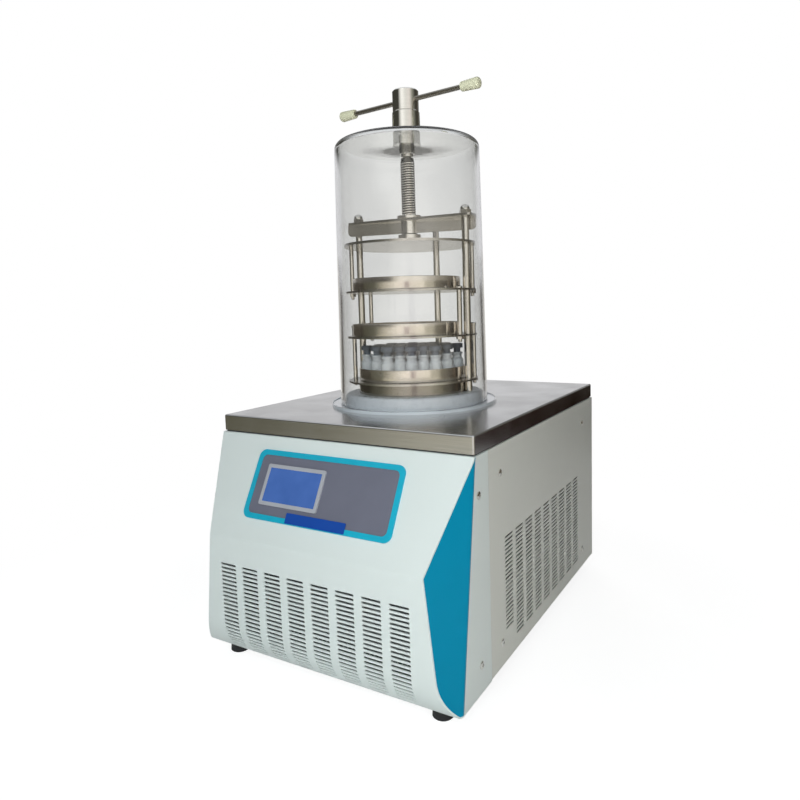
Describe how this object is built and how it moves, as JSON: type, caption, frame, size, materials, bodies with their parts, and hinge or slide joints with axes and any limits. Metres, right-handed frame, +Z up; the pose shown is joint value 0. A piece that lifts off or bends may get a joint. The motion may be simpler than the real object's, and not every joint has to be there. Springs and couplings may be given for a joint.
{
  "type": "bench freeze dryer",
  "caption": "Bench-top freeze dryer: steel cabinet with sloping touch-screen front, clear bell jar over a screw-press stoppering rack of round trays and vials.",
  "frame": {"origin": "on the bench plane under the middle of the bounding box", "axes": "+Z up, +X to the machine's right as seen from its front, the front faces -Y"},
  "size_m": [0.458, 0.65, 0.9009],
  "materials": {
    "white_enamel": "satin",
    "grey_enamel": "satin",
    "blue_enamel": "satin",
    "dark_enamel": "matte",
    "stainless": "satin",
    "bright_steel": "polished",
    "bronze": "satin",
    "lever_blue": "gloss",
    "foot_rubber": "matte",
    "border_cyan": "satin",
    "panel_grey": "satin",
    "screen_frame": "satin",
    "screen_glass": "gloss",
    "strip_blue": "satin",
    "silicone": "satin",
    "white_plastic": "satin",
    "clear_jar": "gloss",
    "clear_glass": "gloss",
    "stopper_rubber": "matte",
    "grip_cream": "satin",
    "copper": "satin",
    "black_foam": "matte",
    "clear_hose": "satin",
    "black_enamel": "satin",
    "fin_aluminium": "satin",
    "black_plastic": "satin",
    "board_green": "satin"
  },
  "bodies": {
    "cabinet": {"base_pan": "dark_enamel", "feet": "foot_rubber", "frame": "dark_enamel", "side_panel_left": "grey_enamel", "side_panel_right": "grey_enamel", "rear_panel": "grey_enamel", "front_cover": "white_enamel", "cheek_left": "blue_enamel", "cheek_right": "blue_enamel", "top_plate": "stainless", "panel_screws": "bright_steel", "display_border": "border_cyan", "display_panel": "panel_grey", "touch_screen": "screen_frame", "screen_glass": "screen_glass", "name_strip": "strip_blue", "jar_gasket": "silicone", "trap_collar": "white_plastic", "cold_trap": "stainless", "evaporator_coil": "copper", "trap_insulation": "black_foam", "vacuum_port": "stainless", "drain_hose": "clear_hose", "drain_valve": "bronze", "compressor": "black_enamel", "condenser": "fin_aluminium", "fan_housing": "dark_enamel", "discharge_line": "copper", "liquid_line": "copper", "suction_line": "copper", "control_board": "board_green", "mains_inlet": "black_plastic", "switch_housing": "black_plastic", "rack_ring": "stainless", "rack_posts": "stainless", "crossbar": "stainless", "screw_nut": "bronze", "cap_nuts": "bright_steel", "shelf_lower": "stainless", "tray_lower": "stainless", "lower_rods": "stainless", "vials": "clear_glass"},
    "jar": {"bell_jar": "clear_jar", "jar_bushing": "bright_steel", "jar_nut": "bright_steel"},
    "handle": {"handle_hub": "bright_steel", "cross_rod": "bright_steel", "grips": "grip_cream"},
    "press": {"press_pad": "stainless", "press_disc": "stainless", "press_rods": "stainless", "shelf_upper": "stainless", "shelf_middle": "stainless", "tray_upper": "stainless", "tray_middle": "stainless"},
    "screw": {"press_screw": "bright_steel"},
    "stoppers": {"stoppers": "stopper_rubber"},
    "fan": {"fan_blades": "black_plastic"},
    "lever": {"drain_lever": "lever_blue"},
    "rocker": {"switch_rocker": "black_plastic"}
  },
  "joints": [
    {"name": "jar_lift", "type": "slide", "parent": "cabinet", "child": "jar", "axis": [0, 0, 1], "range_m": [0, 0.44]},
    {"name": "handle_turn", "type": "hinge", "parent": "jar", "child": "handle", "pos_m": [0, -0.01725, 0.8844], "axis": [0, 0, -1], "range_deg": [0, 1800]},
    {"name": "press_travel", "type": "slide", "parent": "cabinet", "child": "press", "axis": [0, 0, -1], "range_m": [0, 0.02001]},
    {"name": "screw_turn", "type": "hinge", "parent": "press", "child": "screw", "pos_m": [0, -0.01725, 0.7], "axis": [0, 0, -1], "range_deg": [0, 1801]},
    {"name": "stopper_travel", "type": "slide", "parent": "cabinet", "child": "stoppers", "axis": [0, 0, -1], "range_m": [0, 0.00651]},
    {"name": "fan_spin", "type": "hinge", "parent": "cabinet", "child": "fan", "pos_m": [0, -0.19895, 0.112], "axis": [0, 1, 0], "continuous": true},
    {"name": "drain_lever_turn", "type": "hinge", "parent": "cabinet", "child": "lever", "pos_m": [0.165, 0.30775, 0.075], "axis": [0, 0, -1], "range_deg": [0, 90]},
    {"name": "switch_rock", "type": "hinge", "parent": "cabinet", "child": "rocker", "pos_m": [-0.15, 0.29525, 0.13], "axis": [1, 0, 0], "range_deg": [0, 20]}
  ],
  "couplings": [
    {"joint": "press_travel", "follows": "handle_turn", "m_per_rad": 0.00063662},
    {"joint": "screw_turn", "follows": "handle_turn", "ratio": 1},
    {"joint": "stopper_travel", "follows": "handle_turn", "m_per_rad": 0.0002069}
  ]
}
